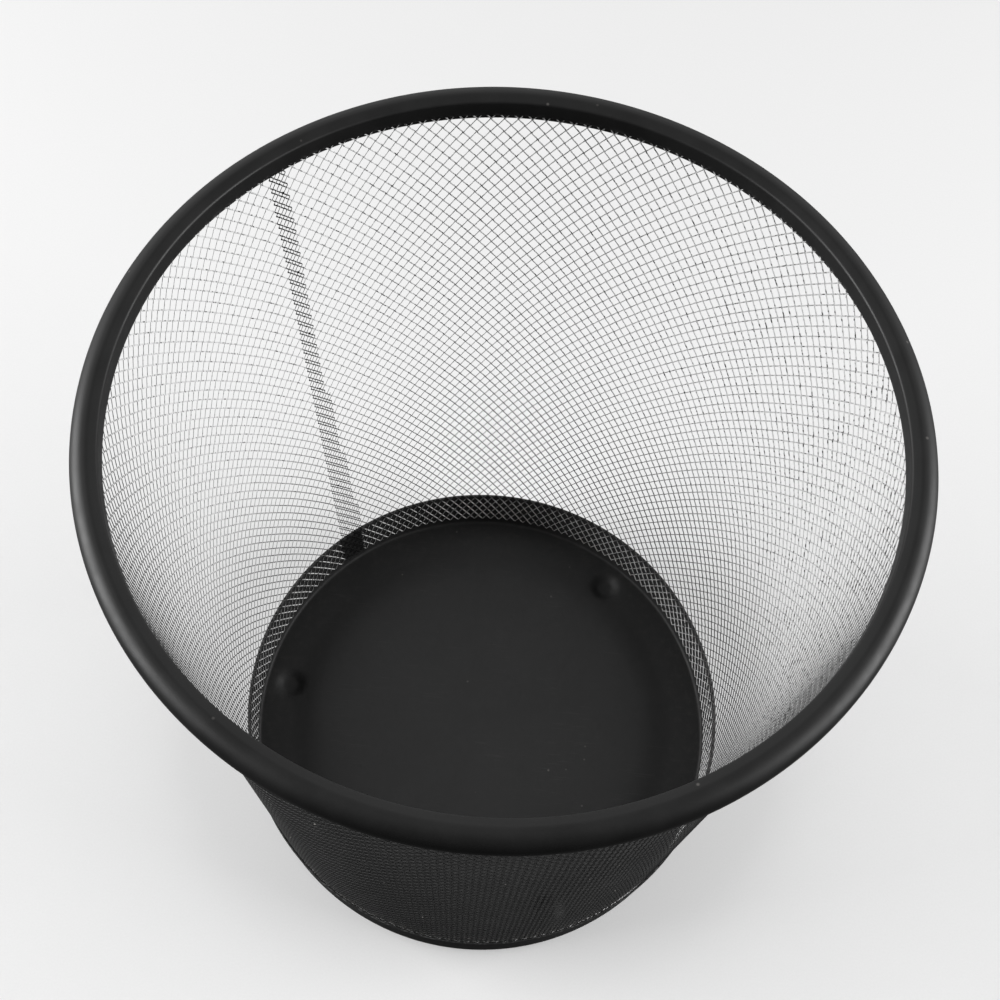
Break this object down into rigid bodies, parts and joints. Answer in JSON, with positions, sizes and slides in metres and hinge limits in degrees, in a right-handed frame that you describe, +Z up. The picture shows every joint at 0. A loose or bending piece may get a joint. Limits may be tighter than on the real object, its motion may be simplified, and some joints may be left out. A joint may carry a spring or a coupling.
{
  "type": "wastebasket",
  "caption": "Round tapered wastebasket with a see-through metal mesh wall, a rolled rim, a solid pressed base and pressed feet.",
  "frame": {"origin": "on the basket's axis, at the level of the floor that the feet stand on", "axes": "+Z up along the basket's axis; +Y away from the viewer, so the lap seam is at the back left and +X is to the right"},
  "size_m": [0.295, 0.295, 0.34],
  "materials": {
    "rim_coat": "satin",
    "mesh_coat": "satin",
    "pan_coat": "satin",
    "weld_coat": "satin"
  },
  "bodies": {
    "root": {"base_pan": "pan_coat", "flange_weld_spots": "weld_coat", "mesh_wall": "mesh_coat", "rim_hoop": "rim_coat", "seam_weld_spots": "weld_coat"}
  },
  "joints": []
}
